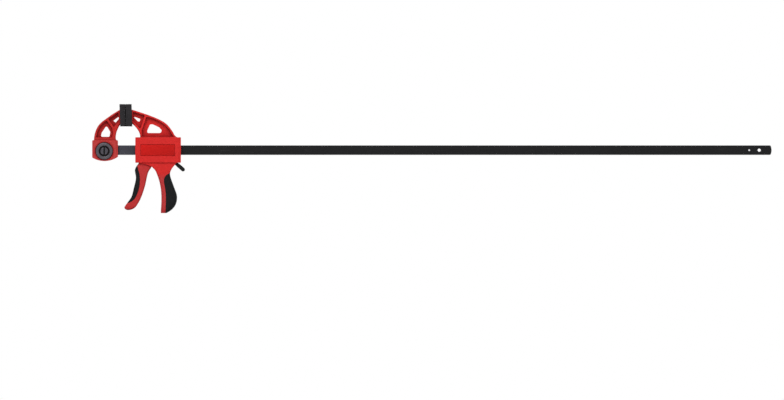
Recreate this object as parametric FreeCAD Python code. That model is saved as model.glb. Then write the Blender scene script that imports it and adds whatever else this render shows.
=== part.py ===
import FreeCAD, Part
import math
import os

Vector = FreeCAD.Vector

# Lengths are in millimetres. The origin is the centre of the closed gripping faces.
# X runs along the bar to its free end, Z runs up from the bar to the pads, Y is across.
# The front of the clamp, with the jaw button and the label recess, faces -Y.

# Bar
bar_height = 20.0
bar_thickness = 6.0
bar_reach = 1357.0
bar_drop = 73.2
bar_edge_round = 0.8
bar_end_round = 2.0
bar_end_bow = 2.4
hang_hole_radius = 3.25
hang_hole_inset = 26.0
stop_pin_inset = 47.0
stop_pin_radius = 2.0
stop_pin_bore = 0.8
stop_pin_slit = 0.6
stop_pin_length = 14.0

# Pads
pad_gap = 0.3
pad_height = 47.0
pad_width = 32.0
pad_thickness = 13.0
fixed_pad_top = 12.4
fixed_pad_low = 10.7
moving_pad_top = 12.9
moving_pad_low = 14.4
pad_face = 5.0
pad_wall = 3.0
pad_corner = 3.0
jaw_plate_thickness = 3.5
pad_edge_round = 1.2
pad_fit = 0.05
pad_groove_width = 1.2
pad_groove_depth = 0.8
pad_groove_count = 7
pad_groove_border = 3.5
pad_band_width = 1.0

# Truss arms of both jaws
arm_width = 20.0
arm_web = 6.0
arm_edge_round = 1.0
arm_flange_round = 2.8
arm_root = 5.0
neck_inset = 3.5
neck_side = 2.0
cell_round = 2.0
window_round = 2.6
small_window_round = 1.1

# Fixed jaw
foot_gap = 15.5
foot_length = 54.2
foot_step = 4.4
foot_width = 28.0
foot_end_width = 21.0
foot_bevel = 5.0
foot_rise = 21.1
foot_fall = 15.6
foot_slant = 1.5
foot_belly = 7.3
foot_corner = 2.5
foot_edge_round = 1.2
fixed_arm_top = 10.6
bar_seat_depth = 45.0
bar_seat_fit = 0.1

# Jaw button in the foot
button_inset = 29.0
button_drop = 2.0
button_travel = 3.6
button_radius = 8.0
button_front = 16.0
button_skirt = 9.6
button_slot_width = 3.4
button_slot_depth = 1.6
button_spring_roof = 13.2
button_well_fit = 0.3
button_well_floor = 5.3
neck_radius = 3.0
lock_radius = 5.0
lock_start = 0.2
lock_fit = 0.1
tail_radius = 2.5
tail_end = 13.6
running_fit = 0.05
collar_radius = 17.8
collar_bore = 11.0
collar_thickness = 4.5
collar_recess_radius = 19.2
collar_recess_depth = 3.0
collar_round = 2.0
collar_shelf_bore = 8.4
collar_shelf = 2.0
button_edge_round = 1.2
clip_radius = 5.0
clip_thickness = 1.0
clip_seat_gap = 0.2
clip_recess_radius = 6.5
clip_recess_floor = 11.4
clip_mouth_width = 3.4
button_spring_wire = 0.45
button_spring_radius = 5.3
button_spring_turns = 4.5
spring_end_gap = 0.3

# Body of the moving head
body_gap = 20.8
body_length = 95.8
body_rise = 27.1
body_fall = 26.5
body_width = 32.0
body_front_width = 24.0
body_rear_width = 27.0
body_front_bevel = 10.0
body_rear_bevel = 6.3
body_edge_round = 1.4
bar_fit = 0.15
moving_arm_top = 11.6
label_depth = 1.3
label_round = 1.0

# Trigger and its pivot
trigger_length = 99.5
trigger_width = 20.0
trigger_corner = 4.5
trigger_side_gap = 0.4
trigger_cover_wall = 3.2
trigger_tongue_width = 9.0
pivot_rise = 16.7
pivot_boss = 6.0
pivot_radius = 3.0
pivot_socket_depth = 2.4
fork_side_gap = 1.0
fork_floor = 15.8
nose_radius = 4.0
nose_gap = 0.3

# Drive plates and their spring
plate_count = 3
plate_thickness = 2.5
plate_height = 28.0
plate_width = 22.0
plate_corner = 2.0
plate_fit = 0.15
drive_wire = 0.8
drive_radius = 11.7
drive_turns = 7.0
spring_wall = 3.0
chamber_gap = 0.4

# Brake plate, its spring and the release lever
brake_thickness = 3.0
brake_top_rise = 17.7
brake_height = 34.0
brake_width = 20.0
brake_cant_degrees = 3.3
brake_shoulder_rise = 13.7
brake_wire = 0.7
brake_radius = 11.65
brake_turns = 3.0
brake_spring_gap = 1.4
rear_wall = 7.0
lever_pin_fall = 22.3
lever_pin_radius = 2.0
lever_pin_length = 20.0
lever_hub = 4.3
lever_width = 13.0
lever_thickness = 7.3
lever_tab_drop = 4.9
lever_tip_x = 15.6
lever_tip_z = 18.5
lever_arm = 2.6
lever_arm_rise = 1.7
lever_hook_reach = 6.1
lever_hook_rise = 7.5
lever_side_gap = 0.4
lever_skin = 1.6
lever_round = 0.8

# Grip of the moving head
grip_length = 106.5
grip_width = 27.0
grip_corner = 9.0
grip_cover_wall = 3.0
grip_cavity_width = 17.0
grip_cavity_round = 1.5
skirt_width = 27.0

# Screws that join the two shells
screw_radius = 1.75
screw_length = 14.0
screw_head_radius = 3.0
screw_head_height = 2.4
body_screw_seat = 9.0
grip_screw_seat = 6.0
screw_head_fit = 0.2

# How far a cutting solid runs past what it cuts
overrun = 40.0
small_overrun = 1.0

# Outline of the fixed jaw's arm, as shares of its run and rise, from the foot to the pad
fixed_outer_shares = [
    (-0.012, 0.0), (0.006, 0.16), (0.067, 0.333), (0.149, 0.466),
    (0.288, 0.597), (0.51, 0.737), (0.73, 0.866), (1.0, 1.005), (1.056, 1.035),
]
fixed_inner_shares = [
    (1.056, 0.53), (1.0, 0.462), (0.955, 0.385), (0.893, 0.255), (0.867, 0.13), (0.868, 0.045),
    (0.895, 0.0),
]
fixed_cell_outer_shares = [
    (0.076, 0.09), (0.11, 0.245), (0.18, 0.395), (0.29, 0.53), (0.41, 0.615), (0.51, 0.655),
]
fixed_cell_inner_shares = [(0.70, 0.43), (0.745, 0.31), (0.745, 0.20), (0.73, 0.09)]
fixed_window_shares = [
    (0.262, 0.11), (0.61, 0.11), (0.645, 0.27), (0.52, 0.45), (0.463, 0.45), (0.302, 0.25),
]
fixed_small_cell_shares = [(0.565, 0.709), (0.975, 0.945), (0.975, 0.63), (0.78, 0.429)]
fixed_small_window_shares = [(0.765, 0.648), (0.985, 0.785), (0.985, 0.71), (0.86, 0.585)]

# Outline of the moving jaw's arm, as shares of its run and rise, from the pad to the body
moving_outer_shares = [
    (-0.007, 1.012), (0.20, 0.91), (0.40, 0.802), (0.585, 0.688), (0.727, 0.576),
    (0.845, 0.431), (0.92, 0.279), (0.966, 0.172), (0.99, 0.10), (1.03, 0.03), (1.06, 0.0),
]
moving_inner_shares = [
    (0.20, 0.0), (0.177, 0.171), (0.122, 0.315), (0.062, 0.421), (-0.007, 0.503),
]
moving_run_share = 0.943
moving_cell_outer_shares = [
    (0.965, 0.03), (0.918, 0.17), (0.848, 0.33), (0.752, 0.478), (0.617, 0.605), (0.47, 0.702),
    (0.34, 0.742),
]
moving_cell_inner_shares = [(0.231, 0.228), (0.238, 0.03)]
moving_window_shares = [
    (0.428, 0.467), (0.495, 0.467), (0.64, 0.357), (0.703, 0.248), (0.67, 0.154),
    (0.363, 0.154), (0.365, 0.248),
]
moving_small_cell_shares = [(0.03, 0.935), (0.306, 0.80), (0.203, 0.30), (0.03, 0.585)]
moving_small_window_shares = [(0.028, 0.764), (0.201, 0.666), (0.188, 0.575), (0.144, 0.578)]

# Label recess, as shares of the body's length from its front and of its height from its floor
label_shares = [(0.114, 0.265), (0.870, 0.727)]

# Places of the moving parts in the body, as shares of its length from its front
pivot_share = 0.2526
plate_share = 0.3257
spring_wall_share = 0.6628
brake_share = 0.8121
lever_pin_share = 0.8841

# Skirt over the trigger, as shares of the body's length and of the grip's length downwards
skirt_shares = [
    (0.06, -0.05), (0.07, 0.008), (0.13, 0.012), (0.22, 0.03), (0.30, 0.055), (0.365, 0.085),
    (0.45, -0.05),
]

# Trigger sections: front and back points as shares of the body's length and the trigger's
# length, then the share of the trigger's width
trigger_shares = [
    ((0.105, -0.060), (0.314, -0.030), 1.0),
    ((0.094, -0.025), (0.359, 0.017), 1.0),
    ((0.035, 0.061), (0.346, 0.103), 1.0),
    ((-0.008, 0.154), (0.298, 0.175), 1.0),
    ((0.009, 0.270), (0.263, 0.270), 1.0),
    ((0.010, 0.354), (0.243, 0.361), 1.0),
    ((-0.016, 0.470), (0.215, 0.483), 1.0),
    ((-0.048, 0.597), (0.171, 0.622), 1.0),
    ((-0.088, 0.724), (0.111, 0.770), 1.0),
    ((-0.156, 0.821), (0.050, 0.876), 1.0),
    ((-0.210, 0.892), (-0.028, 0.962), 0.98),
    ((-0.231, 0.921), (-0.114, 0.994), 0.93),
    ((-0.240, 0.944), (-0.184, 0.995), 0.85),
    ((-0.238, 0.958), (-0.214, 0.983), 0.72),
]
# Line where the trigger's soft cover meets its hard back, in the same shares
trigger_seam_shares = [
    (0.048, 0.038), (0.062, 0.133), (0.092, 0.238), (0.102, 0.333), (0.099, 0.439),
    (0.083, 0.54), (0.053, 0.635), (0.008, 0.728), (-0.048, 0.795), (-0.11, 0.833),
    (-0.20, 0.862),
]
# Neck of the trigger inside the body, as shares of the body's length and height
trigger_neck_front_share = (0.105, 0.046)
trigger_neck_back_shares = [(0.284, 0.33), (0.279, 0.163), (0.326, 0.05), (0.355, -0.029)]
# Room for the trigger's swing, as shares of the body's length and height
trigger_room_shares = [
    (0.04, -0.242), (0.04, 0.029), (0.15, 0.697), (0.15, 0.922), (0.335, 0.922), (0.335, 0.29),
    (0.42, 0.232), (0.50, 0.126), (0.50, -0.165), (0.478, -0.261), (0.457, -0.363),
    (0.41, -0.363), (0.30, -0.242),
]

# Grip sections: share of the grip's length down, then front and back shares of the body's
# length, then the share of the grip's corner rounding
grip_shares = [
    (-0.053, 0.300, 0.905, 0.2),
    (0.016, 0.325, 0.888, 0.2),
    (0.075, 0.360, 0.836, 0.25),
    (0.154, 0.437, 0.780, 0.4),
    (0.243, 0.482, 0.763, 0.7),
    (0.341, 0.519, 0.795, 1.0),
    (0.460, 0.550, 0.843, 1.0),
    (0.598, 0.5685, 0.900, 1.0),
    (0.716, 0.572, 0.915, 1.0),
    (0.834, 0.568, 0.880, 1.0),
    (0.923, 0.561, 0.802, 1.0),
    (0.992, 0.563, 0.683, 1.0),
]
# Line where the grip's soft cover meets the shells, as shares of body length and grip length
grip_seam_shares = [
    (0.90, 0.165), (0.794, 0.195), (0.728, 0.217), (0.669, 0.254), (0.634, 0.308),
    (0.627, 0.371), (0.643, 0.46), (0.662, 0.578), (0.669, 0.736), (0.664, 0.893),
    (0.662, 1.10),
]
grip_cavity_shares = [
    (0.66, 0.36), (0.71, 0.36), (0.79, 0.60), (0.80, 0.74), (0.75, 0.88), (0.70, 0.88),
    (0.69, 0.60),
]

# Places of the shell screws, as shares of the body and of the body's length and grip's length
body_screw_shares = [(0.09, 0.852), (0.935, 0.871), (0.575, 0.116)]
grip_screw_shares = [(0.56, 0.244), (0.617, 0.565), (0.617, 0.858)]

# Values worked out from the sizes above
along_x = Vector(1, 0, 0)
along_y = Vector(0, 1, 0)
along_z = Vector(0, 0, 1)
bar_z = -bar_drop
bar_left = -foot_gap - bar_seat_depth
pad_front = pad_gap / 2
pad_back = pad_front + pad_thickness
plate_front = pad_front + pad_face
plate_back = plate_front + jaw_plate_thickness
foot_left = -foot_gap - foot_length
foot_right = -foot_gap
foot_top = bar_z + foot_rise
foot_corner_z = bar_z - foot_fall
foot_low = foot_corner_z - foot_belly
foot_front = -foot_width / 2
button_x = -foot_gap - button_inset
button_z = bar_z - button_drop
clip_low = clip_recess_floor + clip_seat_gap
body_left = body_gap
body_right = body_gap + body_length
body_top = bar_z + body_rise
body_bottom = bar_z - body_fall
body_height = body_rise + body_fall
pivot_x = body_left + pivot_share * body_length
pivot_z = bar_z + pivot_rise
trigger_half_room = trigger_width / 2 + trigger_side_gap
plate_x = body_left + plate_share * body_length
plate_stack = plate_count * plate_thickness
spring_wall_x = body_left + spring_wall_share * body_length
brake_x = body_left + brake_share * body_length
brake_top = bar_z + brake_top_rise
brake_cant = math.radians(brake_cant_degrees)
lever_pin_x = body_left + lever_pin_share * body_length
lever_pin_z = bar_z - lever_pin_fall
rear_wall_x = body_right - rear_wall
spring_half_room = drive_radius + drive_wire + chamber_gap


def block(low, high):
    """A box between two corner points."""
    size = high - low
    return Part.makeBox(size.x, size.y, size.z, low)


def pin(radius, x, z, y_low, y_high):
    """A round bar across the clamp, from one Y to another."""
    return Part.makeCylinder(radius, y_high - y_low, Vector(x, y_low, z), along_y)


def unit(vector):
    """The same direction with length 1."""
    return vector * (1 / vector.Length)


def stretch(points):
    """An edge: straight through 2 points, a circular arc through 3, a smooth curve through more."""
    if len(points) == 2:
        return Part.LineSegment(points[0], points[1]).toShape()
    if len(points) == 3:
        return Part.Arc(points[0], points[1], points[2]).toShape()
    curve = Part.BSplineCurve()
    curve.interpolate(points)
    return curve.toShape()


def outline_face(stretches):
    """A face inside a closed outline made of edges in order."""
    return Part.Face(Part.Wire([stretch(points) for points in stretches]))


def rounded_face(corners, radius):
    """A face with straight sides whose corners are tangent arcs."""
    starts = []
    middles = []
    ends = []
    count = len(corners)
    for index, corner in enumerate(corners):
        to_last = unit(corners[index - 1] - corner)
        to_next = unit(corners[(index + 1) % count] - corner)
        half_angle = to_last.getAngle(to_next) / 2
        reach = radius / math.tan(half_angle)
        starts.append(corner + to_last * reach)
        ends.append(corner + to_next * reach)
        middles.append(corner + unit(to_last + to_next) * (radius / math.sin(half_angle) - radius))
    stretches = []
    for index in range(count):
        stretches.append([starts[index], middles[index], ends[index]])
        stretches.append([ends[index], starts[(index + 1) % count]])
    return outline_face(stretches)


def slab(face, y_low, y_high):
    """A face drawn at Y = 0, thickened between two Y values."""
    moved = face.copy()
    moved.translate(along_y * y_low)
    return moved.extrude(along_y * (y_high - y_low))


def centred_slab(face, width):
    """A face drawn at Y = 0, thickened evenly to both sides."""
    return slab(face, -width / 2, width / 2)


def fused(shapes):
    """One solid from several that overlap."""
    return shapes[0].multiFuse(shapes[1:]).removeSplitter()


def places(shares, x, run, z, rise):
    """Points from shares of a run along X and of a rise along Z."""
    return [Vector(x + share_x * run, 0, z + share_z * rise) for share_x, share_z in shares]


def side_edges(shape, y):
    """Edges of a shape that lie wholly in one plane across Y."""
    near = arm_edge_round / 100
    found = []
    for edge in shape.Edges:
        box = edge.BoundBox
        if abs(box.YMin - y) < near and abs(box.YMax - y) < near:
            found.append(edge)
    return found


def rounded_slab(face, width, radius):
    """A thickened face whose outer edges on both sides are rounded."""
    shape = centred_slab(face, width)
    edges = side_edges(shape, width / 2) + side_edges(shape, -width / 2)
    return shape.makeFillet(radius, edges)


def biarc(start, start_way, end, end_way):
    """Two tangent arcs between points whose directions are given."""
    gap = end - start
    ways = start_way + end_way
    spread = 2 * (1 - start_way.dot(end_way))
    across = gap.dot(ways)
    reach = (math.sqrt(across * across + spread * gap.dot(gap)) - across) / spread
    joint = (start + end + (start_way - end_way) * reach) * 0.5
    edges = []
    for first, last, way, sign in ((start, joint, start_way, 1), (joint, end, end_way, -1)):
        chord = unit(last - first)
        half = (last - first).Length / 2
        turn = way.getAngle(chord)
        side = unit((way - chord * way.dot(chord)) * sign)
        middle = (first + last) * 0.5 + side * (half * math.tan(turn / 2))
        edges.append(Part.Arc(first, middle, last).toShape())
    return edges


def coil(origin, axis, radius, wire, turns, length):
    """A helical spring of round wire whose wire centres run a length along an axis."""
    side = along_z
    other = axis.cross(side)
    climb = length / (2 * math.pi * turns)
    steps = round(2 * turns)
    edges = []
    points = []
    for step in range(steps + 1):
        angle = math.pi * step
        out = side * math.cos(angle) + other * math.sin(angle)
        way = other * math.cos(angle) - side * math.sin(angle)
        points.append((origin + out * radius + axis * (climb * angle), unit(way * radius + axis * climb)))
    for first, last in zip(points, points[1:]):
        edges.extend(biarc(first[0], first[1], last[0], last[1]))
    path = Part.Wire(edges)
    ring = Part.Wire(Part.Circle(points[0][0], points[0][1], wire).toShape())
    return path.makePipeShell([ring], True, False)


def bevelled_block(low, high, low_end, high_end):
    """A block whose sides slope in to its ends; each end is a width and a bevel's length."""
    low_half = low_end[0] / 2
    low_x = low.x + low_end[1]
    high_half = high_end[0] / 2
    high_x = high.x - high_end[1]
    corners = [
        Vector(low.x, -low_half, low.z), Vector(low_x, low.y, low.z),
        Vector(high_x, low.y, low.z), Vector(high.x, -high_half, low.z),
        Vector(high.x, high_half, low.z), Vector(high_x, high.y, low.z),
        Vector(low_x, high.y, low.z), Vector(low.x, low_half, low.z),
    ]
    wire = Part.makePolygon(corners + corners[:1])
    return Part.Face(wire).extrude(along_z * (high.z - low.z))


def bar_cutter(fit, x_low, x_high):
    """The bar's section with clearance all round, between two X values."""
    half_y = bar_thickness / 2 + fit
    half_z = bar_height / 2 + fit
    return block(Vector(x_low, -half_y, bar_z - half_z), Vector(x_high, half_y, bar_z + half_z))


def bar_blank():
    """The bar without its holes: rounded corners, and a free end that is slightly bowed."""
    half_z = bar_height / 2
    low_left = Vector(bar_left, 0, bar_z - half_z)
    high_left = Vector(bar_left, 0, bar_z + half_z)
    low_right = Vector(bar_reach - bar_end_bow, 0, bar_z - half_z)
    high_right = Vector(bar_reach - bar_end_bow, 0, bar_z + half_z)
    side = outline_face([
        [low_left, low_right], [low_right, Vector(bar_reach, 0, bar_z), high_right],
        [high_right, high_left], [high_left, low_left],
    ])
    blank = centred_slab(side, bar_thickness)
    corners = [edge for edge in blank.Edges if edge.BoundBox.YLength > bar_thickness / 2]
    blank = blank.makeFillet(bar_end_round, corners)
    rims = side_edges(blank, bar_thickness / 2) + side_edges(blank, -bar_thickness / 2)
    return blank.makeFillet(bar_edge_round, rims)


def make_bar():
    """Flat steel bar with its lock hole, lock slot, stop pin hole and hanging hole."""
    bar = bar_blank()
    lock_hole = lock_radius + lock_fit
    slot_half = neck_radius + lock_fit
    slot = block(
        Vector(bar_left - small_overrun, -bar_thickness, button_z - slot_half),
        Vector(button_x, bar_thickness, button_z + slot_half),
    )
    cutters = [
        pin(lock_hole, button_x, button_z, -bar_thickness, bar_thickness),
        pin(stop_pin_radius, bar_reach - stop_pin_inset, bar_z, -bar_thickness, bar_thickness),
        pin(hang_hole_radius, bar_reach - hang_hole_inset, bar_z, -bar_thickness, bar_thickness),
        slot,
    ]
    return bar.cut(cutters)


def make_stop_pin():
    """Slit spring pin that keeps the head on the bar."""
    x = bar_reach - stop_pin_inset
    half = stop_pin_length / 2
    tube = pin(stop_pin_radius, x, bar_z, -half, half).cut(pin(stop_pin_bore, x, bar_z, -half, half))
    slit = block(
        Vector(x, -half, bar_z - stop_pin_slit / 2),
        Vector(x + stop_pin_radius, half, bar_z + stop_pin_slit / 2),
    )
    return tube.cut(slit)


def pad_profile(inset):
    """The pad's face outline, drawn at its front, less an inset all round."""
    half_y = pad_width / 2 - inset
    half_z = pad_height / 2 - inset
    corners = [
        Vector(pad_front, -half_y, -half_z), Vector(pad_front, half_y, -half_z),
        Vector(pad_front, half_y, half_z), Vector(pad_front, -half_y, half_z),
    ]
    return rounded_face(corners, pad_corner - inset / 2)


def jaw_plate():
    """The flat plate on a jaw's end that the pad is stretched over, on the moving side."""
    profile = pad_profile(pad_wall)
    profile.translate(along_x * (plate_front - pad_front))
    return profile.extrude(along_x * (plate_back - plate_front))


def jaw_neck(arm_low, arm_high, clearance):
    """The neck between an arm's end and its plate, with clearance all round."""
    half_y = arm_width / 2 - neck_side + clearance
    return block(
        Vector(plate_back - small_overrun, -half_y, arm_low + neck_inset - clearance),
        Vector(pad_back + small_overrun, half_y, arm_high - neck_inset + clearance),
    )


def pad_blank(top, low):
    """The pad's outside: a slanted back, and its thickness at the upper and lower end."""
    half_z = pad_height / 2
    corners = [
        Vector(pad_front, 0, -half_z), Vector(pad_front + low, 0, -half_z),
        Vector(pad_front + top, 0, half_z), Vector(pad_front, 0, half_z),
    ]
    wedge = centred_slab(Part.Face(Part.makePolygon(corners + corners[:1])), pad_width)
    return pad_profile(0).extrude(along_x * (top + low)).common(wedge)


def make_pad(arm, arm_low, arm_high, top, low):
    """Rubber boot with a grooved gripping face, closed round its arm, on the moving side."""
    body = pad_blank(top, low)
    front_edges = [edge for edge in body.Edges if edge.BoundBox.XMax < pad_front + pad_fit]
    body = body.makeFillet(pad_edge_round, front_edges)
    pocket = pad_profile(pad_wall - pad_fit)
    pocket.translate(along_x * (plate_front - pad_fit - pad_front))
    cutters = [
        pocket.extrude(along_x * (plate_back - plate_front + 2 * pad_fit)),
        jaw_neck(arm_low, arm_high, pad_fit),
        arm,
    ]
    pitch = pad_height / (pad_groove_count + 1)
    for index in range(pad_groove_count):
        z = (index + 1) * pitch - pad_height / 2
        groove_half = pad_width / 2 - pad_groove_border
        cutters.append(block(
            Vector(pad_front - small_overrun, -groove_half, z - pad_groove_width / 2),
            Vector(pad_front + pad_groove_depth, groove_half, z + pad_groove_width / 2),
        ))
    band = pad_profile(-small_overrun).cut(pad_profile(pad_groove_depth))
    band.translate(along_x * (pad_face - pad_band_width))
    cutters.append(band.extrude(along_x * pad_band_width))
    return body.cut(cutters)


def truss_arm(outer, inner, root_z):
    """The outline of an arm: curved flanges carried down into the block that holds them."""
    outer_root = Vector(outer[0].x, 0, root_z)
    inner_root = Vector(inner[-1].x, 0, root_z)
    face = outline_face([
        outer, [outer[-1], inner[0]], inner, [inner[-1], inner_root],
        [inner_root, outer_root], [outer_root, outer[0]],
    ])
    arm = centred_slab(face, arm_width)
    flanges = [
        edge for edge in side_edges(arm, arm_width / 2) + side_edges(arm, -arm_width / 2)
        if edge.Curve.TypeId == "Part::GeomBSplineCurve"
    ]
    return arm.makeFillet(arm_flange_round, flanges)


def cell_cutters(face):
    """Two recesses that leave a web in the middle of an arm."""
    return [slab(face, arm_web / 2, overrun), slab(face, -overrun, -arm_web / 2)]


def fixed_place(shares):
    """Points on the fixed jaw's arm."""
    left = foot_left + foot_step
    return places(shares, left, -pad_back - left, foot_top, fixed_arm_top - foot_top)


def fixed_arm():
    """The fixed jaw's arm before its recesses are cut."""
    outer = fixed_place(fixed_outer_shares)
    inner = fixed_place(fixed_inner_shares)
    return truss_arm(outer, inner, foot_top - arm_root)


def fixed_arm_ends():
    """Lower and upper height of the fixed jaw's arm at its pad."""
    return fixed_place(fixed_inner_shares)[0].z, fixed_place(fixed_outer_shares)[-1].z


def make_foot():
    """The fixed jaw's foot: bowed below, sloped in at both ends and rounded on top."""
    top_left = Vector(foot_left, 0, foot_top)
    top_right = Vector(foot_right, 0, foot_top)
    low_left = Vector(foot_left, 0, foot_corner_z)
    low_right = Vector(foot_right, 0, foot_corner_z + foot_slant)
    belly = Vector((foot_left + foot_right) / 2, 0, foot_low)
    side = outline_face([
        [top_left, top_right], [top_right, low_right], [low_right, belly, low_left],
        [low_left, top_left],
    ])
    side_slab = centred_slab(side, foot_width)
    uprights = [edge for edge in side_slab.Edges if edge.BoundBox.YLength > foot_width / 2]
    side_slab = side_slab.makeFillet(foot_corner, uprights)
    end = (foot_end_width, foot_bevel)
    plan = bevelled_block(
        Vector(foot_left, -foot_width / 2, foot_low - overrun),
        Vector(foot_right, foot_width / 2, foot_top + small_overrun), end, end,
    )
    foot = side_slab.common(plan)
    shoulders = [edge for edge in foot.Edges if edge.BoundBox.ZMin > foot_top - foot_corner / 2]
    return foot.makeFillet(foot_edge_round, shoulders)


def make_fixed_jaw():
    """One moulding: truss arm, pad plate, and the foot that holds the bar and the jaw button."""
    arm_low, arm_high = fixed_arm_ends()
    plate = jaw_plate().mirror(Vector(), along_x)
    neck = jaw_neck(arm_low, arm_high, 0).mirror(Vector(), along_x)
    jaw = fused([fixed_arm(), make_foot(), neck, plate])
    cell = outline_face([
        fixed_place(fixed_cell_outer_shares),
        [fixed_place(fixed_cell_outer_shares)[-1], fixed_place(fixed_cell_inner_shares)[0]],
        fixed_place(fixed_cell_inner_shares),
        [fixed_place(fixed_cell_inner_shares)[-1], fixed_place(fixed_cell_outer_shares)[0]],
    ])
    cutters = cell_cutters(cell)
    cutters += cell_cutters(rounded_face(fixed_place(fixed_small_cell_shares), cell_round))
    window = rounded_face(fixed_place(fixed_window_shares), window_round)
    small_window = rounded_face(fixed_place(fixed_small_window_shares), small_window_round)
    cutters.append(centred_slab(window, foot_width))
    cutters.append(centred_slab(small_window, foot_width))
    cutters.append(bar_cutter(bar_seat_fit, bar_left - small_overrun, foot_right + overrun))
    jaw = jaw.cut(cutters)
    well_radius = button_radius + button_well_fit
    wells = [
        pin(collar_recess_radius, button_x, button_z, -overrun, foot_front + collar_recess_depth),
        pin(well_radius, button_x, button_z, -overrun, -button_well_floor),
        pin(neck_radius + button_well_fit, button_x, button_z, -overrun, 0),
        pin(lock_radius + button_well_fit, button_x, button_z, 0, 2 * button_travel),
        pin(tail_radius + running_fit, button_x, button_z, 0, overrun),
        pin(clip_recess_radius, button_x, button_z, clip_recess_floor, overrun),
    ]
    return jaw.cut(wells)


def make_fixed_pad():
    """The fixed jaw's pad."""
    arm = fixed_arm().mirror(Vector(), along_x)
    low, high = fixed_arm_ends()
    return make_pad(arm, low, high, fixed_pad_top, fixed_pad_low).mirror(Vector(), along_x)


def make_collar():
    """Ring round the jaw button, seated in the foot's recess."""
    back = foot_front + collar_recess_depth
    front = back - collar_thickness
    ring = pin(collar_radius, button_x, button_z, front, back)
    ring = ring.cut(pin(collar_bore, button_x, button_z, front, back))
    ring = ring.makeFillet(collar_round, side_edges(ring, front))
    shelf = pin(collar_bore + small_overrun, button_x, button_z, back - collar_shelf, back)
    shelf = shelf.cut(pin(collar_shelf_bore, button_x, button_z, back - collar_shelf, back))
    return fused([ring, shelf])


def make_button():
    """Push button: slotted cap, neck that clears the bar's slot, and the disc that locks it."""
    lock_end = button_travel - lock_start
    cap = pin(button_radius, button_x, button_z, -button_front, -button_skirt)
    cap = cap.makeFillet(button_edge_round, side_edges(cap, -button_front))
    spring_room = button_spring_radius + button_spring_wire + button_well_fit
    hollow = pin(spring_room, button_x, button_z, -button_spring_roof, -button_skirt)
    slot = block(
        Vector(button_x - button_slot_width / 2, -button_front, button_z - button_radius),
        Vector(
            button_x + button_slot_width / 2,
            -button_front + button_slot_depth,
            button_z + button_radius,
        ),
    )
    cap = cap.cut([hollow, slot])
    return fused([
        cap,
        pin(neck_radius, button_x, button_z, -button_spring_roof, lock_end),
        pin(lock_radius, button_x, button_z, -lock_start, lock_end),
        pin(tail_radius, button_x, button_z, 0, tail_end),
    ])


def make_button_spring():
    """Small coil that lifts the jaw button."""
    low = button_well_floor + button_spring_wire + spring_end_gap
    high = button_spring_roof - button_spring_wire - spring_end_gap
    return coil(
        Vector(button_x, -low, button_z), along_y * -1,
        button_spring_radius, button_spring_wire, button_spring_turns, high - low,
    )


def make_clip():
    """Open clip on the button's tail, which stops it on the foot's back."""
    disc = pin(clip_radius, button_x, button_z, clip_low, clip_low + clip_thickness)
    bore = pin(tail_radius, button_x, button_z, clip_low, clip_low + clip_thickness)
    mouth = block(
        Vector(button_x - clip_mouth_width / 2, clip_low, button_z - clip_radius),
        Vector(button_x + clip_mouth_width / 2, clip_low + clip_thickness, button_z),
    )
    return disc.cut([bore, mouth])


def body_place(shares):
    """Points from shares of the body's length and height."""
    return places(shares, body_left, body_length, body_bottom, body_height)


def moving_place(shares):
    """Points on the moving jaw's arm."""
    run = body_length * moving_run_share
    return places(shares, pad_back, run, body_top, moving_arm_top - body_top)


def grip_place(shares):
    """Points below the body, from shares of the body's length and the grip's length."""
    return places(shares, body_left, body_length, body_bottom, -grip_length)


def trigger_place(shares):
    """Points below the body, from shares of the body's length and the trigger's length."""
    return places(shares, body_left, body_length, body_bottom, -trigger_length)


def section(front, back, half_width, corner):
    """A rounded rectangle across the clamp, from a front point to a back point."""
    along = unit(back - front)
    reach = (back - front).Length / 2
    centre = (front + back) * 0.5
    bend = min(corner, reach * 0.9)
    cut_back = bend * (1 - math.sqrt(0.5))

    def spot(u, v):
        return centre + along * u + along_y * v

    stretches = []
    quarters = ((1, 1), (-1, 1), (-1, -1), (1, -1))
    for index, (u, v) in enumerate(quarters):
        next_u, next_v = quarters[(index + 1) % 4]
        beside = spot(u * reach, v * (half_width - bend))
        above = spot(u * (reach - bend), v * half_width)
        middle = spot(u * (reach - cut_back), v * (half_width - cut_back))
        first, last = (beside, above) if index % 2 == 0 else (above, beside)
        if index % 2 == 0:
            follow = spot(next_u * (reach - bend), next_v * half_width)
        else:
            follow = spot(next_u * reach, next_v * (half_width - bend))
        stretches.append([first, middle, last])
        stretches.append([last, follow])
    return Part.Wire([stretch(points) for points in stretches])


def grip_loft(inset):
    """The grip's form, drawn in by an inset all round."""
    wires = []
    for down, front_share, back_share, corner_share in grip_shares:
        front, back = grip_place([(front_share, down), (back_share, down)])
        front.x = front.x + inset
        back.x = back.x - inset
        corner = corner_share * (grip_corner - inset / 2)
        wires.append(section(front, back, grip_width / 2 - inset, corner))
    return Part.makeLoft(wires, True, False)


def seam_prism(seam, far_x, low_z, high_z, width):
    """Everything between a seam line and a far X, across a width."""
    first = seam[0]
    last = seam[-1]
    corners = [last, Vector(far_x, 0, low_z), Vector(far_x, 0, high_z), first]
    stretches = [seam]
    for start, end in zip(corners, corners[1:]):
        stretches.append([start, end])
    return centred_slab(outline_face(stretches), width)


def grip_soft_zone():
    """The region behind the grip's seam, which the soft cover fills."""
    seam = grip_place(grip_seam_shares)
    far = body_right + overrun
    return seam_prism(seam, far, seam[-1].z, seam[0].z, grip_width + small_overrun)


def grip_tenon():
    """The hard core that the soft cover is moulded round."""
    core = grip_loft(grip_cover_wall)
    floor_z = body_bottom - grip_length + grip_cover_wall
    below = block(
        Vector(body_left - overrun, -grip_width, floor_z - overrun),
        Vector(body_right + overrun, grip_width, floor_z),
    )
    return core.cut(below)


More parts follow.
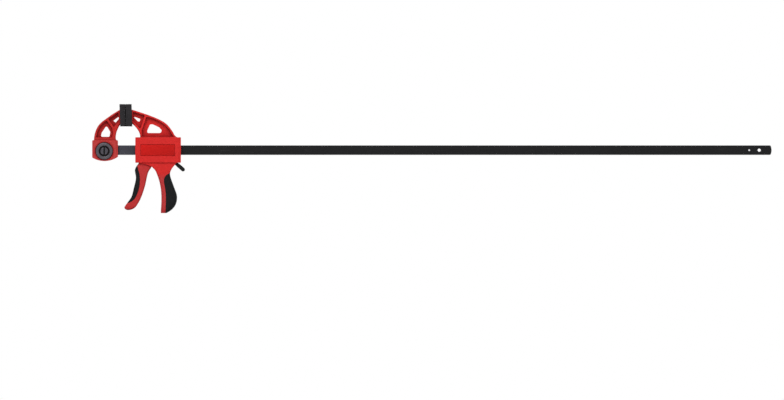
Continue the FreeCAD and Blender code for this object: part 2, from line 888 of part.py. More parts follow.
def make_grip_cover():
    """Soft cover over the back of the grip."""
    return grip_loft(0).common(grip_soft_zone()).cut(grip_tenon())


def brake_chamber_face():
    """Side outline of the space for the brake, with the shoulder that its top bears on."""
    left = spring_wall_x + spring_wall
    shoulder_x = brake_x - brake_thickness / 2 - chamber_gap
    shoulder_z = bar_z + brake_shoulder_rise
    roof = brake_top + chamber_gap
    floor_z = body_bottom + spring_wall
    slope = brake_top_rise - brake_shoulder_rise
    corners = [
        Vector(left, 0, shoulder_z), Vector(shoulder_x, 0, shoulder_z),
        Vector(shoulder_x, 0, roof), Vector(rear_wall_x - slope, 0, roof),
        Vector(rear_wall_x, 0, roof - slope), Vector(rear_wall_x, 0, floor_z),
        Vector(left, 0, floor_z),
    ]
    return Part.Face(Part.makePolygon(corners + corners[:1]))


def lever_room():
    """The way out for the release lever, through the body's floor and behind the grip."""
    half = lever_width / 2 + lever_side_gap
    left = lever_pin_x - lever_hub - 2 * lever_side_gap
    right = body_right - lever_skin
    return block(
        Vector(left, -half, lever_pin_z - lever_tab_drop - lever_hub - 2 * lever_side_gap),
        Vector(right, half, lever_pin_z + lever_hub + lever_side_gap),
    )


def screw_places():
    """Where the shell screws stand, each with its seat across the clamp."""
    body = [(place, body_screw_seat) for place in body_place(body_screw_shares)]
    return body + [(place, grip_screw_seat) for place in grip_place(grip_screw_shares)]


def make_head_cavity():
    """Everything that is hollow inside the two shells."""
    trigger_room = centred_slab(Part.Face(Part.makePolygon(
        body_place(trigger_room_shares + trigger_room_shares[:1])
    )), 2 * trigger_half_room)
    spring_room = block(
        Vector(plate_x - chamber_gap, -spring_half_room, bar_z - plate_height / 2 - chamber_gap),
        Vector(spring_wall_x, spring_half_room, bar_z + plate_height / 2 + chamber_gap),
    )
    brake_half = brake_radius + brake_wire + chamber_gap
    cavities = [
        trigger_room,
        spring_room,
        centred_slab(brake_chamber_face(), 2 * brake_half),
        lever_room(),
        bar_cutter(bar_fit, body_left - overrun, body_right + overrun),
        centred_slab(
            rounded_face(grip_place(grip_cavity_shares), grip_cavity_round), grip_cavity_width
        ),
    ]
    pivot_half = trigger_half_room + pivot_socket_depth + running_fit
    cavities.append(pin(pivot_radius + running_fit, pivot_x, pivot_z, -pivot_half, pivot_half))
    lever_half = lever_pin_length / 2 + running_fit
    cavities.append(
        pin(lever_pin_radius + running_fit, lever_pin_x, lever_pin_z, -lever_half, lever_half)
    )
    head = screw_head_radius + screw_head_fit
    for place, seat in screw_places():
        bottom = seat - screw_length - screw_head_fit
        cavities.append(pin(screw_radius, place.x, place.z, bottom, overrun))
        cavities.append(pin(head, place.x, place.z, seat, overrun))
    return cavities


def moving_arm():
    """The moving jaw's arm before its recesses are cut."""
    outer = moving_place(reversed(moving_outer_shares))
    inner = moving_place(reversed(moving_inner_shares))
    return truss_arm(outer, inner, body_top - arm_root)


def moving_arm_ends():
    """Lower and upper height of the moving jaw's arm at its pad."""
    return moving_place(moving_inner_shares)[-1].z, moving_place(moving_outer_shares)[0].z


def make_moving_pad():
    """The moving jaw's pad."""
    low, high = moving_arm_ends()
    return make_pad(moving_arm(), low, high, moving_pad_top, moving_pad_low)


def make_head_outside():
    """The moving head as one form: truss arm, body, skirt and grip, still solid."""
    arm_low, arm_high = moving_arm_ends()
    body = bevelled_block(
        Vector(body_left, -body_width / 2, body_bottom),
        Vector(body_right, body_width / 2, body_top),
        (body_front_width, body_front_bevel), (body_rear_width, body_rear_bevel),
    )
    across = [edge for edge in body.Edges if edge.BoundBox.ZLength < body_edge_round]
    body = body.makeFillet(body_edge_round, across)
    seam = grip_soft_zone()
    grip = grip_loft(0).cut(seam)
    skirt = rounded_slab(
        Part.Face(Part.makePolygon(grip_place(skirt_shares + skirt_shares[:1]))),
        skirt_width, arm_edge_round,
    )
    shapes = [
        body, moving_arm(), grip, grip_tenon(), skirt, jaw_plate(),
        jaw_neck(arm_low, arm_high, 0),
    ]
    head = fused(shapes)
    cell_outer = moving_place(moving_cell_outer_shares)
    cell_inner = moving_place(moving_cell_inner_shares)
    cell = outline_face([
        cell_outer, [cell_outer[-1], cell_inner[0]], cell_inner, [cell_inner[-1], cell_outer[0]],
    ])
    cutters = cell_cutters(cell)
    cutters += cell_cutters(rounded_face(moving_place(moving_small_cell_shares), cell_round))
    window = rounded_face(moving_place(moving_window_shares), window_round)
    small_window = rounded_face(moving_place(moving_small_window_shares), small_window_round)
    cutters.append(centred_slab(window, body_width))
    cutters.append(centred_slab(small_window, body_width))
    low, high = body_place(label_shares)
    corners = [
        Vector(low.x, 0, low.z), Vector(high.x, 0, low.z),
        Vector(high.x, 0, high.z), Vector(low.x, 0, high.z),
    ]
    label = rounded_face(corners, label_round)
    cutters.append(slab(label, -overrun, label_depth - body_width / 2))
    return head.cut(cutters)


def make_head_shells():
    """The two moulded halves of the head, split down the middle."""
    head = make_head_outside().cut(make_head_cavity())
    low = Vector(-overrun, -overrun, body_bottom - 2 * grip_length)
    high = Vector(body_right + overrun, 0, overrun)
    front = head.common(block(low, high))
    rear = head.common(block(Vector(low.x, 0, low.z), Vector(high.x, overrun, high.z)))
    return front, rear


def make_screws():
    """The identical screws that hold the shells together."""
    screws = []
    for place, seat in screw_places():
        shank = pin(screw_radius, place.x, place.z, seat - screw_length, seat)
        head = pin(screw_head_radius, place.x, place.z, seat, seat + screw_head_height)
        screws.append(fused([shank, head]))
    return Part.makeCompound(screws)


def trigger_loft():
    """The trigger's handle, lofted from under the body to its tip."""
    wires = []
    for front_share, back_share, width_share in trigger_shares:
        front, back = trigger_place([front_share, back_share])
        wires.append(section(front, back, width_share * trigger_width / 2, trigger_corner))
    return Part.makeLoft(wires, True, False)


def trigger_soft_zone():
    """The region in front of the trigger's seam, which the soft cover fills."""
    seam = trigger_place(trigger_seam_shares)
    far = seam[-1].x - overrun
    zone = seam_prism(seam, far, seam[-1].z, seam[0].z, trigger_width + small_overrun)
    line = trigger_tongue_line()
    shift = along_x * trigger_width
    tongue = outline_face([
        line, [line[-1], line[-1] + shift], [line[-1] + shift, line[0] + shift],
        [line[0] + shift, line[0]],
    ])
    return zone.cut(centred_slab(tongue, trigger_tongue_width))


def trigger_tongue_line():
    """The front line of the hard tongue inside the soft cover."""
    line = []
    for front_share, back_share, _ in trigger_shares[2:-4]:
        front, back = trigger_place([front_share, back_share])
        line.append(front + unit(back - front) * trigger_cover_wall)
    return line


def make_trigger():
    """Hard trigger: forked neck over the bar, nose that pushes the plates, and the handle."""
    neck_back = body_place(trigger_neck_back_shares)
    front = body_place([trigger_neck_front_share])[0]
    top = Vector(pivot_x, 0, pivot_z + pivot_boss)
    left = Vector(pivot_x - pivot_boss, 0, pivot_z)
    right = Vector(pivot_x + pivot_boss, 0, pivot_z)
    stretches = [[front, left], [left, top, right]]
    corners = [right] + neck_back + [front]
    for start, end in zip(corners, corners[1:]):
        stretches.append([start, end])
    neck = centred_slab(outline_face(stretches), trigger_width)
    nose_x = plate_x - nose_gap - nose_radius
    nose = pin(nose_radius, nose_x, bar_z, -trigger_width / 2, trigger_width / 2)
    whole = fused([neck, nose, trigger_loft()])
    fork_half = bar_thickness / 2 + fork_side_gap
    fork = block(
        Vector(body_left - overrun, -fork_half, bar_z - fork_floor),
        Vector(body_right, fork_half, body_top + overrun),
    )
    bore = pin(pivot_radius + running_fit, pivot_x, pivot_z, -trigger_width, trigger_width)
    return whole.cut([fork, bore, trigger_soft_zone()])


def make_trigger_cover():
    """Soft cover on the front of the trigger."""
    return trigger_loft().common(trigger_soft_zone())


def make_pivot_pin():
    """Pin that the trigger swings on, held in both shells."""
    half = trigger_half_room + pivot_socket_depth
    return pin(pivot_radius, pivot_x, pivot_z, -half, half)


def make_drive_plates():
    """Steel plates on the bar that grip it when the trigger pushes them."""
    half_y = plate_width / 2
    half_z = plate_height / 2
    plates = []
    for index in range(plate_count):
        x = plate_x + index * plate_thickness
        corners = [
            Vector(x, -half_y, bar_z - half_z), Vector(x, half_y, bar_z - half_z),
            Vector(x, half_y, bar_z + half_z), Vector(x, -half_y, bar_z + half_z),
        ]
        plate = rounded_face(corners, plate_corner).extrude(along_x * plate_thickness)
        plates.append(plate.cut(bar_cutter(plate_fit, x - plate_thickness, x + 2 * plate_thickness)))
    return Part.makeCompound(plates)


def make_drive_spring():
    """Coil round the bar that returns the plates and the trigger."""
    start = plate_x + plate_stack + drive_wire + spring_end_gap
    end = spring_wall_x - drive_wire - spring_end_gap
    return coil(Vector(start, 0, bar_z), along_x, drive_radius, drive_wire, drive_turns, end - start)


def make_brake_plate():
    """Canted steel plate that stops the head from sliding back along the bar."""
    half_x = brake_thickness / 2
    half_y = brake_width / 2
    low = brake_top - brake_height
    plate = block(Vector(brake_x - half_x, -half_y, low), Vector(brake_x + half_x, half_y, brake_top))
    corners = [edge for edge in plate.Edges if edge.BoundBox.XLength > half_x]
    plate = plate.makeFillet(plate_corner, corners)
    lean = brake_thickness * math.sin(brake_cant)
    half_hole = (bar_height / 2 + plate_fit + lean / 2) / math.cos(brake_cant)
    middle = (brake_top - bar_z) / math.cos(brake_cant)
    hole_y = bar_thickness / 2 + plate_fit
    hole = block(
        Vector(brake_x - brake_thickness, -hole_y, brake_top - middle - half_hole),
        Vector(brake_x + brake_thickness, hole_y, brake_top - middle + half_hole),
    )
    plate = plate.cut(hole)
    plate.rotate(Vector(brake_x, 0, brake_top), along_y, brake_cant_degrees)
    return plate


def make_brake_spring():
    """Short coil round the bar that keeps the brake plate canted."""
    lean = (brake_top - bar_z) * math.tan(brake_cant)
    start = brake_x - lean + brake_thickness / 2 + brake_spring_gap + brake_wire
    end = rear_wall_x - brake_wire - spring_end_gap
    return coil(Vector(start, 0, bar_z), along_x, brake_radius, brake_wire, brake_turns, end - start)


def make_release_lever():
    """Lever with an outside tab and an inside hook that straightens the brake plate."""
    hub = Vector(lever_pin_x, 0, lever_pin_z)
    root = hub - along_z * lever_tab_drop
    tip = hub + Vector(lever_tip_x, 0, -lever_tip_z)
    along = unit(tip - root)
    side = Vector(-along.z, 0, along.x)
    half = lever_thickness / 2
    tab = outline_face([
        [root - side * half, tip - side * half],
        [tip - side * half, tip + along * half, tip + side * half],
        [tip + side * half, root + side * half],
        [root + side * half, root - side * half],
    ])
    arm_left = brake_x - lever_hook_reach
    arm_top = lever_pin_z + lever_arm_rise
    hook = [
        Vector(lever_pin_x, 0, arm_top - lever_arm), Vector(lever_pin_x, 0, arm_top),
        Vector(arm_left + lever_arm, 0, arm_top),
        Vector(arm_left + lever_arm, 0, lever_pin_z + lever_hook_rise),
        Vector(arm_left, 0, lever_pin_z + lever_hook_rise), Vector(arm_left, 0, arm_top - lever_arm),
    ]
    hook_face = Part.Face(Part.makePolygon(hook + hook[:1]))
    half_y = lever_width / 2
    lever = fused([
        rounded_slab(tab, lever_width, lever_round),
        pin(lever_hub, hub.x, hub.z, -half_y, half_y),
        centred_slab(hook_face, lever_width),
    ])
    return lever.cut(pin(lever_pin_radius + running_fit, hub.x, hub.z, -lever_width, lever_width))


def make_lever_pin():
    """Pin that the release lever swings on."""
    half = lever_pin_length / 2
    return pin(lever_pin_radius, lever_pin_x, lever_pin_z, -half, half)


def main():
    """Build every piece and write each to its own file."""
    shell_front, shell_rear = make_head_shells()
    parts = {
        "bar": make_bar(),
        "bar_stop_pin": make_stop_pin(),
        "fixed_jaw": make_fixed_jaw(),
        "fixed_jaw_pad": make_fixed_pad(),
        "jaw_button_collar": make_collar(),
        "jaw_button": make_button(),
        "jaw_button_spring": make_button_spring(),
        "jaw_button_clip": make_clip(),
        "head_shell_front": shell_front,
        "head_shell_rear": shell_rear,
        "shell_screws": make_screws(),
        "moving_jaw_pad": make_moving_pad(),
        "grip_cover": make_grip_cover(),
        "trigger": make_trigger(),
        "trigger_cover": make_trigger_cover(),
        "trigger_pivot_pin": make_pivot_pin(),
        "drive_plates": make_drive_plates(),
        "drive_spring": make_drive_spring(),
        "brake_plate": make_brake_plate(),
        "brake_spring": make_brake_spring(),
        "release_lever": make_release_lever(),
        "release_lever_pin": make_lever_pin(),
    }
    os.makedirs("parts", exist_ok=True)
    for name, shape in parts.items():
        shape.exportStep(f"parts/{name}.step")
        box = shape.BoundBox
        print(
            f"{name}: solids {len(shape.Solids)} valid {shape.isValid()} volume {shape.Volume:.0f}"
            f" x {box.XMin:.1f}..{box.XMax:.1f} y {box.YMin:.1f}..{box.YMax:.1f}"
            f" z {box.ZMin:.1f}..{box.ZMax:.1f}"
        )


main()
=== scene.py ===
import math

import bmesh
import bpy
from mathutils import Matrix, Vector


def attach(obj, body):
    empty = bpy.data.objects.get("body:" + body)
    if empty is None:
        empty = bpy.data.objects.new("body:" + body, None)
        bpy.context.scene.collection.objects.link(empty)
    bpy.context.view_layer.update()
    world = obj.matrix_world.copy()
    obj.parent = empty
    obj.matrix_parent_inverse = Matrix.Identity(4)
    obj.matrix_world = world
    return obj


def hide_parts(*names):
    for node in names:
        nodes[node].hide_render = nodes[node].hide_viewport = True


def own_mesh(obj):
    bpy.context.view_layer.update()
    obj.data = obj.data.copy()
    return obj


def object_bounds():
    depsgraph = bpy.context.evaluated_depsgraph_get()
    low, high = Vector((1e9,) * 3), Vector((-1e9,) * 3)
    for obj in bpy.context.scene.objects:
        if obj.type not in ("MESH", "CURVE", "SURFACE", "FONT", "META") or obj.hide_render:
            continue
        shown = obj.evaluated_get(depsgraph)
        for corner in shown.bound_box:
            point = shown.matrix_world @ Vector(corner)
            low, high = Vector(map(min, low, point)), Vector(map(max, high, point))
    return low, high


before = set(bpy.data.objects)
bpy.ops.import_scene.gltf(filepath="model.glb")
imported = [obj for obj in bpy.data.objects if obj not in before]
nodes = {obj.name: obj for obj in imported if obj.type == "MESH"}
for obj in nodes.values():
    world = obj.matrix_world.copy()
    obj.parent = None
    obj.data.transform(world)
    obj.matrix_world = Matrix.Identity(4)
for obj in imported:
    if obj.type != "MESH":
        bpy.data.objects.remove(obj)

cad_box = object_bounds()

# Camera: the photograph's frame, in metres
view_width = 1.6464
view_centre = Vector((0.5599, 0.0, -0.1779))
camera_distance = 3.0

# Floor and lights, in metres and watts; the floor glows by distance from its middle
floor_size = 30.0
floor_gap = 0.0002
floor_middle = 0.64
floor_glow_start = 0.4
floor_glow_end = 2.4
floor_glow_near = 0.08
floor_glow_shape = (0.6, 1.0, 0.0)
floor_rough = 0.9
lamp_target = Vector((0.25, 0.0, -0.08))
key_place = Vector((-0.6, -2.4, 2.3))
key_size = (2.2, 1.8)
key_power = 105.0
fill_place = Vector((2.0, -3.0, 0.9))
fill_size = (2.4, 1.2)
fill_power = 17.0
back_place = Vector((0.8, 2.8, 1.6))
back_size = (3.2, 2.0)
back_power = 70.0
sky_level = 0.2

# Colours, linear
red = (0.550, 0.0194, 0.0178)
# A darker copy of the head's red for the grip's strip below the body: painted shade
red_grip_shaded = (0.43, 0.036, 0.037)
# The jaw's two reds are darker copies of the head's red, painted shade for the less light the jaw
# gets; the foot's is also paler and pinker
red_foot_shaded = (0.45, 0.044, 0.041)
red_jaw_shaded = (0.42, 0.018, 0.016)
# Painted shade in the corners and recesses of the red mouldings
red_corner_shade = (0.20, 0.0016, 0.0030)
# Lighter rubbed edges of the red mouldings: partly wear, partly a painted edge highlight
red_wear_and_highlight = (0.66, 0.045, 0.040)
# The trigger's reds: darker copies of the head's red, painted shade for its narrow rounded shape,
# its lower part darker still
red_trigger_shaded = (0.51, 0.030, 0.030)
red_trigger_low_shaded = (0.43, 0.029, 0.029)
label_red = (0.51, 0.0105, 0.0085)
rubber_black = (0.0042, 0.0046, 0.0050)
pad_black = (0.0130, 0.0118, 0.0133)
black_plastic = (0.0045, 0.0050, 0.0050)
grey_plastic = (0.085, 0.078, 0.090)
hub_grey = (0.070, 0.065, 0.078)
# Painted shade in the button's groove, its slot and its corners
groove_shade_black = (0.002, 0.002, 0.0025)
bar_black = (0.0032, 0.0032, 0.0036)
bar_slate = (0.046, 0.046, 0.060)
bar_worn = (0.16, 0.16, 0.17)
steel_bright = (0.42, 0.42, 0.43)
floor_white = (0.92, 0.92, 0.92)

# Finishes: noise scales are in waves a metre, reaches and depths in metres
cloud_ends = (0.3, 0.7)
streak_ends = (0.35, 0.65)
rich_noise = (5.0, 0.6)
soft_noise = (4.0, 0.6)
grain_strength = 0.5
satin_scale = 400.0
moulding_rough = (0.46, 0.58)
moulding_rough_scale = 220.0
moulding_specular = 0.09
mottle_scale = 55.0
mottle_share = 0.88
flow_stretch = (25.0, 25.0, 160.0)
flow_level = 0.8
dull_blend = 0.006
# Rubbed edges, lighter: on the red mouldings partly wear and partly a painted edge highlight
edge_reach = 0.0012
edge_ends = (0.35, 0.62)
edge_patch_scale = 300.0
edge_patch_ends = (0.42, 0.62)
edge_wear_and_highlight = 0.5
# Reach and levels of the painted shade in the red mouldings' corners and recesses
corner_reach = 0.018
corner_ends = (0.25, 0.94)
seam_share = 0.35
seam_depth = 0.00015
seam_strength = 0.8
spark_scale = 1500.0
spark_depth = 0.00006
spark_strength = 0.6
label_rough = (0.34, 0.42)
label_specular = 0.06
label_cloud_scale = 70.0
label_cloud_level = 0.2
label_share = 0.72
label_grain_scale = 700.0
label_grain_depth = 0.00002
label_grain_strength = 0.4
rubber_rough = (0.56, 0.7)
rubber_specular = 0.1
rubber_cloud_scale = 70.0
rubber_cloud_share = 1.5
# Painted shade in the rubber's corners
rubber_shade_reach = 0.003
rubber_shade_ends = (0.25, 0.75)
rubber_shade_share = 0.1
dust_scale = 900.0
dust_ends = (0.55, 0.75)
dust_level = 0.18
dust_share = 4.0
stipple_scale = 2000.0
stipple_depth = 0.00009
stipple_strength = 0.7
swell_scale = 350.0
swell_depth = 0.00008
swell_strength = 0.4
lever_rough = (0.4, 0.52)
lever_specular = 0.12
lever_rough_scale = 300.0
lever_cloud_scale = 80.0
lever_cloud_share = 1.5
lever_edge_reach = 0.001
lever_edge_ends = (0.35, 0.6)
lever_edge_level = 0.35
lever_edge_share = 6.0
lever_grain_depth = 0.00005
turned_rough = (0.34, 0.46)
turned_specular = 0.15
turned_metal = 0.35
turned_stretch = 0.75
turned_fine_scale = 5200.0
turned_coarse_scale = 900.0
turned_share = 0.7
turned_depth = 0.00004
turned_shade_reach = 0.003
turned_shade_ends = (0.2, 0.8)
# Soft edge of the painted shade in the button's groove and slot
shade_mask_edge = 0.0003
bar_rough = (0.40, 0.56)
bar_specular = 0.12
bar_streak_stretch = (9.0, 1400.0, 1400.0)
bar_streak_share = 1.7
bar_grain_stretch = (60.0, 5200.0, 5200.0)
bar_cloud_stretch = (14.0, 60.0, 60.0)
bar_cloud_ends = (0.35, 0.7)
bar_cloud_level = 0.3
bar_cloud_share = 2.4
bar_scratch_stretch = (22.0, 2600.0, 2600.0)
bar_scratch_ends = (0.68, 0.74)
bar_scratch_level = 0.18
slate_end = (0.05, 0.09)
slate_fade_half = 0.014
slate_fade_shares = (1.25, 0.85)
slate_streak_level = 0.6
slate_streak_share = 0.7
# Painted shade on the bar beside the mouldings
slate_shade_reach = 0.005
slate_shade_ends = (0.35, 0.85)
slate_shade_share = 0.3
bar_edge_reach = 0.0009
bar_edge_level = 0.22
bar_grain_depth = 0.00003
steel_cloud_scale = 150.0
steel_share = 0.75
steel_rough = 0.28
steel_rough_scale = 500.0
steel_rough_spread = 0.12
steel_grain_scale = 1400.0
steel_grain_depth = 0.00003

# Detail sizes, in metres
button_axis = Vector((-0.0445, 0.0, -0.0752))
groove_radii = (0.0079, 0.0112)
slot_half = 0.0016
# Painted shadow of the collar on the foot around the ring, on the front only
ring_shade = (0.0176, 0.0235)
ring_front = -0.010
ring_front_fade = 0.002
ring_share = 0.1
# Painted shade on the pads' faces near the middle, where the pads meet
pad_gap_shade = 0.0015
pad_gap_shade_core = 0.0009
groove_wall_half = 0.001
groove_wall_depth = 0.0014
groove_wall_end = 0.003
# Heights where the reds split: below them darker copies paint shade on the grip's strip and the
# trigger's lower part, and the foot takes its own red
grip_shade_below = -0.128
trigger_shade_below = -0.105
foot_top = -0.052
label_low = (0.0317, -0.0855)
label_high = (0.1042, -0.0607)
label_front = -0.0152
label_back = -0.0146
label_gap = 0.0007
label_corner = 0.0016
label_corner_steps = 6
label_edge_round = 0.00025
rubber_voxel = 0.00045
lever_voxel = 0.0003
ease_factor = 0.5
ease_rounds = 3
tab_root = Vector((0.1055, 0.0, -0.1004))
tab_tip = Vector((0.12135, 0.0, -0.11425))
tab_swell = 0.00035
tab_swell_start = 0.004
tab_swell_run = 0.003
ridge_start = 0.0095
ridge_end = 0.0207
ridge_pitch = 0.0014
ridge_height = 0.00035
ridge_half = 0.0052
ridge_fade = 0.0006
ridge_facing = 0.8
face_zone = 0.002
face_swell = 0.0003
face_clear = 0.000005
seam_half = 0.00012
screw_profile = [
    (0.0, 0.0024), (0.0016, 0.0024), (0.0023, 0.0022), (0.0028, 0.0017), (0.003, 0.001),
    (0.003, 0.0), (0.00175, 0.0),
]
screw_thread_depth = 0.0005
screw_thread_pitch = 0.0012
screw_length = 0.014
screw_steps = 40
recess_half = 0.0005
recess_reach = (0.0008, 0.0019)
recess_depth = 0.0014
recess_taper = 0.6
screw_turn = 0.7
screw_sharp = math.radians(35.0)
weld = 0.000002


class Shader:
    """A material's node tree, with short ways to add and join nodes."""

    def __init__(self, name):
        self.material = bpy.data.materials.new(name)
        self.material.use_nodes = True
        self.tree = self.material.node_tree
        self.surface = self.tree.nodes["Principled BSDF"]

    def node(self, kind, **values):
        """Add a node and set its properties."""
        made = self.tree.nodes.new(kind)
        for key, value in values.items():
            setattr(made, key, value)
        return made

    def link(self, start, end):
        """Join an output to an input."""
        self.tree.links.new(start, end)

    def put(self, name, value):
        """Set or feed one of the surface's sockets."""
        socket = self.surface.inputs[name]
        if isinstance(value, bpy.types.NodeSocket):
            self.link(value, socket)
        elif isinstance(value, tuple):
            socket.default_value = (*value, 1.0)
        else:
            socket.default_value = value

    def place(self):
        """Coordinates in metres, fixed to the piece."""
        return self.node("ShaderNodeTexCoord").outputs["Object"]

    def stretched(self, scale):
        """Piece coordinates with a scale on each axis."""
        mapping = self.node("ShaderNodeMapping")
        mapping.inputs["Scale"].default_value = scale
        self.link(self.place(), mapping.inputs["Vector"])
        return mapping.outputs["Vector"]

    def noise(self, scale, detail=3.0, rough=0.5, vector=None):
        """Noise between 0 and 1."""
        made = self.node("ShaderNodeTexNoise")
        made.inputs["Scale"].default_value = scale
        made.inputs["Detail"].default_value = detail
        made.inputs["Roughness"].default_value = rough
        self.link(vector or self.place(), made.inputs["Vector"])
        return made.outputs["Fac"]

    def remap(self, value, low, high, new_low=0.0, new_high=1.0):
        """Move a value from one range to another, held at its ends."""
        made = self.node("ShaderNodeMapRange")
        for name, number in (
            ("From Min", low), ("From Max", high), ("To Min", new_low), ("To Max", new_high)
        ):
            made.inputs[name].default_value = number
        self.link(value, made.inputs["Value"])
        return made.outputs["Result"]

    def cloud(self, scale, detail=3.0, rough=0.5, ends=cloud_ends, levels=(0.0, 1.0)):
        """Noise drawn out to a wider range."""
        return self.remap(self.noise(scale, detail, rough), *ends, *levels)

    def drawn(self, stretch, detail, rough, ends):
        """Stretched noise drawn out to a wider range."""
        return self.remap(self.noise(1.0, detail, rough, self.stretched(stretch)), *ends)

    def gloss(self, scale, levels, specular):
        """Set the roughness, which varies a little, and the specular level."""
        self.put("Roughness", self.cloud(scale, 2.0, levels=levels))
        self.put("Specular IOR Level", specular)

    def grain(self, scale, depth, strength=grain_strength, under=None):
        """Bump from fine noise."""
        return self.bump(self.noise(scale, 2.0), depth, strength, under)

    def about(self, axis):
        """From an axis across the clamp: the arm to a point, its flat part and the radius."""
        arm = self.vector_sum("SUBTRACT", self.place(), axis).outputs["Vector"]
        flat = self.vector_sum("MULTIPLY", arm, (1.0, 0.0, 1.0)).outputs["Vector"]
        return arm, flat, self.vector_sum("LENGTH", flat).outputs["Value"]

    def maths(self, operation, first, second=None):
        """One sum on values or sockets."""
        made = self.node("ShaderNodeMath", operation=operation)
        for index, value in enumerate((first, second)):
            if value is None:
                continue
            if isinstance(value, bpy.types.NodeSocket):
                self.link(value, made.inputs[index])
            else:
                made.inputs[index].default_value = value
        return made.outputs["Value"]

    def mix(self, amount, first, second):
        """Blend two colours."""
        made = self.node("ShaderNodeMix", data_type="RGBA")
        colours = [socket for socket in made.inputs if socket.type == "RGBA"]
        factor = [socket for socket in made.inputs if socket.type == "VALUE"][0]
        self.link(amount, factor)
        for socket, value in zip(colours, (first, second)):
            if isinstance(value, bpy.types.NodeSocket):
                self.link(value, socket)
            else:
                socket.default_value = (*value, 1.0)
        return [socket for socket in made.outputs if socket.type == "RGBA"][0]

    def bump(self, height, distance, strength=1.0, under=None):
        """Bump from a height of 0 to 1, with its depth in metres."""
        made = self.node("ShaderNodeBump")
        made.inputs["Strength"].default_value = strength
        made.inputs["Distance"].default_value = distance
        self.link(height, made.inputs["Height"])
        if under:
            self.link(under, made.inputs["Normal"])
        return made.outputs["Normal"]

    def corner_shade(self, distance, inside=False):
        """1 in the open and less in corners and wells, or from inside: less near outer edges."""
        made = self.node("ShaderNodeAmbientOcclusion", samples=8, inside=inside)
        made.inputs["Distance"].default_value = distance
        return made.outputs["AO"]

    def parts(self, vector=None):
        """The three coordinates of a point."""
        split = self.node("ShaderNodeSeparateXYZ")
        self.link(vector or self.place(), split.inputs["Vector"])
        return split.outputs["X"], split.outputs["Y"], split.outputs["Z"]

    def vector_sum(self, operation, first, second=None):
        """One sum on vectors."""
        made = self.node("ShaderNodeVectorMath", operation=operation)
        for index, value in enumerate((first, second)):
            if value is None:
                continue
            if isinstance(value, bpy.types.NodeSocket):
                self.link(value, made.inputs[index])
            else:
                made.inputs[index].default_value = value
        return made


def dim(colour, share):
    """A colour with all its parts scaled."""
    return tuple(part * share for part in colour)


def ring_painted_shadow(shader):
    """Painted shadow of the collar: dark on the foot close around the ring, and 1 elsewhere."""
    radius = shader.about(button_axis)[2]
    clear = shader.remap(radius, *ring_shade, ring_share, 1.0)
    behind = shader.remap(shader.parts()[1], ring_front - ring_front_fade, ring_front)
    return shader.maths("MAXIMUM", clear, behind)


def make_red_plastic(name, upper, lower, border, ring_shadow=False):
    """Glass-filled red moulding: spark texture, mottling, painted shade in corners, rubbed edges
    lighter as wear and as a painted highlight, seam.
    """
    shader = Shader(name)
    # Below the border a second red: a darker copy as painted shade on the head's grip strip and
    # the trigger's lower part, the foot's own red on the jaw
    height = shader.remap(shader.parts()[2], border - dull_blend, border + dull_blend)
    base = shader.mix(height, lower, upper)
    darker = shader.mix(height, dim(lower, mottle_share), dim(upper, mottle_share))
    mottle = shader.cloud(mottle_scale, *rich_noise)
    flow = shader.drawn(flow_stretch, *soft_noise, streak_ends)
    blotch = shader.maths("MAXIMUM", mottle, shader.maths("MULTIPLY", flow, flow_level))
    plain = shader.mix(blotch, base, darker)
    # Lighter rubbed edges: partly wear, partly a painted edge highlight
    rubbed = shader.remap(shader.corner_shade(edge_reach, True), *edge_ends, 1.0, 0.0)
    patchy = shader.cloud(edge_patch_scale, ends=edge_patch_ends)
    wear_and_highlight = shader.maths("MULTIPLY", shader.maths("MULTIPLY", rubbed, patchy), edge_wear_and_highlight)
    plain = shader.mix(wear_and_highlight, plain, red_wear_and_highlight)
    # Painted shade in corners and recesses; on the jaw also the ring's painted shadow
    corner = shader.remap(shader.corner_shade(corner_reach), *corner_ends)
    if ring_shadow:
        corner = shader.maths("MULTIPLY", corner, ring_painted_shadow(shader))
    shaded = shader.mix(corner, red_corner_shade, plain)
    across = shader.maths("ABSOLUTE", shader.parts()[1])
    seam = shader.remap(across, seam_half * 0.5, seam_half * 1.5)
    shader.put("Base Color", shader.mix(seam, dim(red, seam_share), shaded))
    shader.gloss(moulding_rough_scale, moulding_rough, moulding_specular)
    grain = shader.grain(spark_scale, spark_depth, spark_strength)
    shader.put("Normal", shader.bump(seam, seam_depth, seam_strength, grain))
    return shader.material


def make_label_finish():
    """The bare label: smooth satin red film, a little darker towards its lower right."""
    shader = Shader("label_film")
    x, _, z = shader.parts()
    along = shader.remap(x, label_low[0], label_high[0], 0.0, 0.5)
    down = shader.remap(z, label_low[1], label_high[1], 0.5, 0.0)
    cloud = shader.maths("MULTIPLY", shader.noise(label_cloud_scale), label_cloud_level)
    amount = shader.maths("ADD", shader.maths("ADD", along, down), cloud)
    shader.put("Base Color", shader.mix(amount, label_red, dim(label_red, label_share)))
    shader.gloss(satin_scale, label_rough, label_specular)
    grain = shader.grain(label_grain_scale, label_grain_depth, label_grain_strength)
    shader.put("Normal", grain)
    return shader.material


